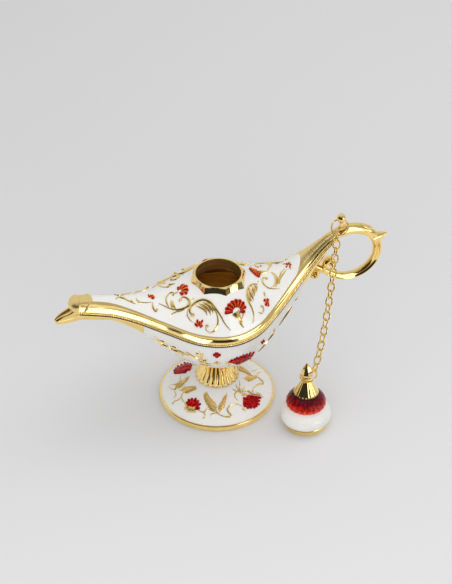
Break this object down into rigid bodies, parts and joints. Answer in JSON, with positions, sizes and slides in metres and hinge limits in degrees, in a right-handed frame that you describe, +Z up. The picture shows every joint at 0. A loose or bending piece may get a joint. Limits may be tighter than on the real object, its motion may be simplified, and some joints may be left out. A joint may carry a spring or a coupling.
{
  "type": "genie oil lamp",
  "caption": "Footed oil lamp with a boat-shaped two-part body, long pouring spout, ring handle and a stopper that hangs on a chain.",
  "frame": {"origin": "middle of the ring that the foot rests on", "axes": "+X to the handle, -X to the spout, +Z up"},
  "size_m": [0.1976, 0.0888, 0.1193],
  "materials": {
    "gold": "polished pale gold plating over cast metal",
    "white_enamel": "glossy pearl white enamel on cast metal with gilt relief",
    "red_gem": "glossy deep red enamel on cast metal",
    "steel": "plain turned steel"
  },
  "bodies": {
    "lamp": {"foot": "white_enamel", "stem": "gold", "bowl": "white_enamel", "cover": "white_enamel", "neck_collar": "gold", "handle_loop": "gold", "chain_peg": "gold", "pedestal_screw": "steel", "pedestal_washer": "steel"},
    "peg_ring": {"peg_ring": "gold"},
    "link_01": {"chain_link_01": "gold"},
    "link_02": {"chain_link_02": "gold"},
    "link_03": {"chain_link_03": "gold"},
    "link_04": {"chain_link_04": "gold"},
    "link_05": {"chain_link_05": "gold"},
    "link_06": {"chain_link_06": "gold"},
    "link_07": {"chain_link_07": "gold"},
    "link_08": {"chain_link_08": "gold"},
    "link_09": {"chain_link_09": "gold"},
    "link_10": {"chain_link_10": "gold"},
    "link_11": {"chain_link_11": "gold"},
    "link_12": {"chain_link_12": "gold"},
    "link_13": {"chain_link_13": "gold"},
    "link_14": {"chain_link_14": "gold"},
    "link_15": {"chain_link_15": "gold"},
    "link_16": {"chain_link_16": "gold"},
    "link_17": {"chain_link_17": "gold"},
    "link_18": {"chain_link_18": "gold"},
    "link_19": {"chain_link_19": "gold"},
    "stopper_ring": {"stopper_ring": "gold"},
    "stopper": {"stopper_plug": "gold", "stopper_bulb": "white_enamel", "stopper_gem_ring": "red_gem", "stopper_finial": "gold", "stopper_stud": "steel", "stopper_nut": "steel"}
  },
  "joints": [
    {"name": "peg_ring_swing", "type": "hinge", "parent": "lamp", "child": "peg_ring", "pos_m": [0.075, 0.00143, 0.11351], "axis": [-0.8192, 0.5736, 0], "range_deg": [0, 60]},
    {"name": "link_01_swing", "type": "hinge", "parent": "peg_ring", "child": "link_01", "pos_m": [0.07032, -0.00526, 0.10811], "axis": [0.8192, -0.5736, 0], "range_deg": [-60, 0]},
    {"name": "link_02_swing", "type": "hinge", "parent": "link_01", "child": "link_02", "pos_m": [0.06969, -0.00616, 0.10384], "axis": [0.5556, 0.7935, -0.2483], "range_deg": [-60, 0]},
    {"name": "link_03_swing", "type": "hinge", "parent": "link_02", "child": "link_03", "pos_m": [0.06904, -0.0071, 0.09959], "axis": [0.8016, -0.5978, 0.0087], "range_deg": [-60, 20]},
    {"name": "link_04_swing", "type": "hinge", "parent": "link_03", "child": "link_04", "pos_m": [0.06835, -0.00808, 0.09536], "axis": [-0.6016, -0.751, 0.2721], "range_deg": [-5, 60]},
    {"name": "link_05_swing", "type": "hinge", "parent": "link_04", "child": "link_05", "pos_m": [0.06763, -0.00911, 0.09115], "axis": [-0.7648, 0.6437, -0.0272], "range_deg": [-35, 60]},
    {"name": "link_06_swing", "type": "hinge", "parent": "link_05", "child": "link_06", "pos_m": [0.06687, -0.01021, 0.08695], "axis": [0.6433, 0.7045, -0.2997], "range_deg": [-60, 5]},
    {"name": "link_07_swing", "type": "hinge", "parent": "link_06", "child": "link_07", "pos_m": [0.06607, -0.01136, 0.08278], "axis": [0.7267, -0.6852, 0.0494], "range_deg": [-60, 60]},
    {"name": "link_08_swing", "type": "hinge", "parent": "link_07", "child": "link_08", "pos_m": [0.06522, -0.01258, 0.07864], "axis": [-0.6798, -0.6538, 0.3322], "range_deg": [-5, 60]},
    {"name": "link_09_swing", "type": "hinge", "parent": "link_08", "child": "link_09", "pos_m": [0.06431, -0.01387, 0.07453], "axis": [-0.6884, 0.7213, -0.0763], "range_deg": [-60, 60]},
    {"name": "link_10_swing", "type": "hinge", "parent": "link_09", "child": "link_10", "pos_m": [0.06335, -0.01526, 0.07047], "axis": [0.7096, 0.5986, -0.3718], "range_deg": [-60, 5]},
    {"name": "link_11_swing", "type": "hinge", "parent": "link_10", "child": "link_11", "pos_m": [0.06232, -0.01674, 0.06646], "axis": [0.652, -0.7504, 0.1091], "range_deg": [-60, 60]},
    {"name": "link_12_swing", "type": "hinge", "parent": "link_11", "child": "link_12", "pos_m": [0.06121, -0.01832, 0.06251], "axis": [-0.73, -0.5384, 0.4211], "range_deg": [-5, 60]},
    {"name": "link_13_swing", "type": "hinge", "parent": "link_12", "child": "link_13", "pos_m": [0.06002, -0.02004, 0.05863], "axis": [-0.621, 0.7695, -0.1491], "range_deg": [-60, 60]},
    {"name": "link_14_swing", "type": "hinge", "parent": "link_13", "child": "link_14", "pos_m": [0.05873, -0.02189, 0.05486], "axis": [0.7364, 0.4721, -0.4846], "range_deg": [-60, 10]},
    {"name": "link_15_swing", "type": "hinge", "parent": "link_14", "child": "link_15", "pos_m": [0.05732, -0.02391, 0.05121], "axis": [0.6019, -0.7741, 0.1964], "range_deg": [-60, 60]},
    {"name": "link_16_swing", "type": "hinge", "parent": "link_15", "child": "link_16", "pos_m": [0.05578, -0.02612, 0.04773], "axis": [-0.7195, -0.3978, 0.5693], "range_deg": [-10, 60]},
    {"name": "link_17_swing", "type": "hinge", "parent": "link_16", "child": "link_17", "pos_m": [0.0541, -0.02853, 0.04446], "axis": [-0.6068, 0.7558, -0.2461], "range_deg": [-60, 60]},
    {"name": "link_18_swing", "type": "hinge", "parent": "link_17", "child": "link_18", "pos_m": [0.05225, -0.03118, 0.04148], "axis": [0.6588, 0.3118, -0.6847], "range_deg": [-60, 15]},
    {"name": "link_19_swing", "type": "hinge", "parent": "link_18", "child": "link_19", "pos_m": [0.05023, -0.03409, 0.03887], "axis": [0.6548, -0.7039, 0.2753], "range_deg": [-60, 60]},
    {"name": "stopper_ring_swing", "type": "hinge", "parent": "link_19", "child": "stopper_ring", "pos_m": [0.04803, -0.03725, 0.03674], "axis": [-0.5102, -0.2061, 0.835], "range_deg": [-40, 60]},
    {"name": "stopper_spin", "type": "hinge", "parent": "stopper_ring", "child": "stopper", "pos_m": [0.0432, -0.0385, 0], "axis": [0, 0, 1], "continuous": true}
  ]
}
